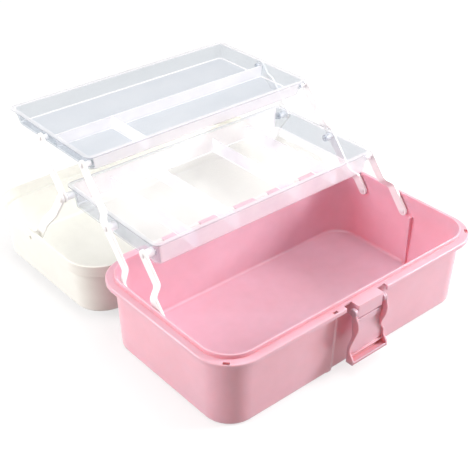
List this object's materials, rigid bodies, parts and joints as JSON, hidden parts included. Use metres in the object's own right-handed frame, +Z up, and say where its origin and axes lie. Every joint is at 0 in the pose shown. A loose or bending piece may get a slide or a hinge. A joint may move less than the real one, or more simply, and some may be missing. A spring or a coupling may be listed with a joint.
{
  "type": "tool storage box",
  "caption": "Tool storage box: pink tub, white hinged lid, clear trays that rise on folding arms as the lid opens, front latch and folding handle.",
  "frame": {"origin": "centre of the tub's flat underside", "axes": "+X to the right along the front wall, +Y from the latch towards the lid, +Z up; stored open with the trays raised"},
  "size_m": [0.335, 0.4012, 0.1714],
  "materials": {
    "pink_plastic": "satin moulded plastic",
    "white_plastic": "satin moulded plastic",
    "arm_plastic": "satin moulded plastic",
    "pin_plastic": "satin moulded plastic",
    "clear_plastic": "clear glossy plastic",
    "steel": "drawn wire"
  },
  "bodies": {
    "base": {"base": "pink_plastic", "base_pivot_pins": "pin_plastic", "hinge_pin": "steel", "latch_pin": "steel"},
    "lid": {"lid": "white_plastic", "lid_link_pins": "pin_plastic", "handle_pins": "steel"},
    "handle": {"handle": "white_plastic"},
    "latch": {"latch": "pink_plastic"},
    "long_arms": {"long_arm_left": "arm_plastic", "long_arm_right": "arm_plastic"},
    "short_arms": {"short_arm_left": "arm_plastic", "short_arm_right": "arm_plastic"},
    "lower_tray": {"lower_tray": "clear_plastic", "lower_tray_pivot_pins": "pin_plastic"},
    "upper_tray": {"upper_tray": "clear_plastic", "upper_tray_pivot_pins": "pin_plastic"},
    "rear_arms": {"rear_arm_left": "arm_plastic", "rear_arm_right": "arm_plastic"},
    "lid_links": {"lid_link_left": "arm_plastic", "lid_link_right": "arm_plastic"}
  },
  "joints": [
    {"name": "lid_hinge", "type": "hinge", "parent": "base", "child": "lid", "pos_m": [0, 0.09945, 0.073], "axis": [1, 0, 0], "range_deg": [0, 180]},
    {"name": "long_arm_swing", "type": "hinge", "parent": "base", "child": "long_arms", "pos_m": [0, 0.05256, 0.0635], "axis": [1, 0, 0], "range_deg": [0, 117.5]},
    {"name": "short_arm_swing", "type": "hinge", "parent": "base", "child": "short_arms", "pos_m": [0, -0.00444, 0.0635], "axis": [1, 0, 0], "range_deg": [0, 117.5]},
    {"name": "lower_tray_level", "type": "hinge", "parent": "long_arms", "child": "lower_tray", "pos_m": [0, 0.09582, 0.11597], "axis": [1, 0, 0], "range_deg": [-117.5, 0]},
    {"name": "upper_tray_level", "type": "hinge", "parent": "long_arms", "child": "upper_tray", "pos_m": [0, 0.13525, 0.16381], "axis": [1, 0, 0], "range_deg": [-117.5, 0]},
    {"name": "rear_arm_swing", "type": "hinge", "parent": "lower_tray", "child": "rear_arms", "pos_m": [0, 0.16872, 0.11597], "axis": [1, 0, 0], "range_deg": [0, 117.5]},
    {"name": "lid_link_swing", "type": "hinge", "parent": "lid", "child": "lid_links", "pos_m": [0, 0.2079, 0.0598], "axis": [1, 0, 0], "range_deg": [0, 47.92]},
    {"name": "latch_hinge", "type": "hinge", "parent": "base", "child": "latch", "pos_m": [0, -0.09845, 0.06975], "axis": [-1, 0, 0], "range_deg": [0, 180]},
    {"name": "handle_hinge", "type": "hinge", "parent": "lid", "child": "handle", "pos_m": [0, 0.1989, 0.0047], "axis": [-1, 0, 0], "range_deg": [0, 90]}
  ],
  "couplings": [
    {"joint": "long_arm_swing", "follows": "lid_hinge", "ratio": 0.65278},
    {"joint": "short_arm_swing", "follows": "lid_hinge", "ratio": 0.65278},
    {"joint": "lower_tray_level", "follows": "lid_hinge", "ratio": -0.65278},
    {"joint": "upper_tray_level", "follows": "lid_hinge", "ratio": -0.65278},
    {"joint": "rear_arm_swing", "follows": "lid_hinge", "ratio": 0.65278},
    {"joint": "lid_link_swing", "follows": "lid_hinge", "ratio": 0.26623}
  ]
}
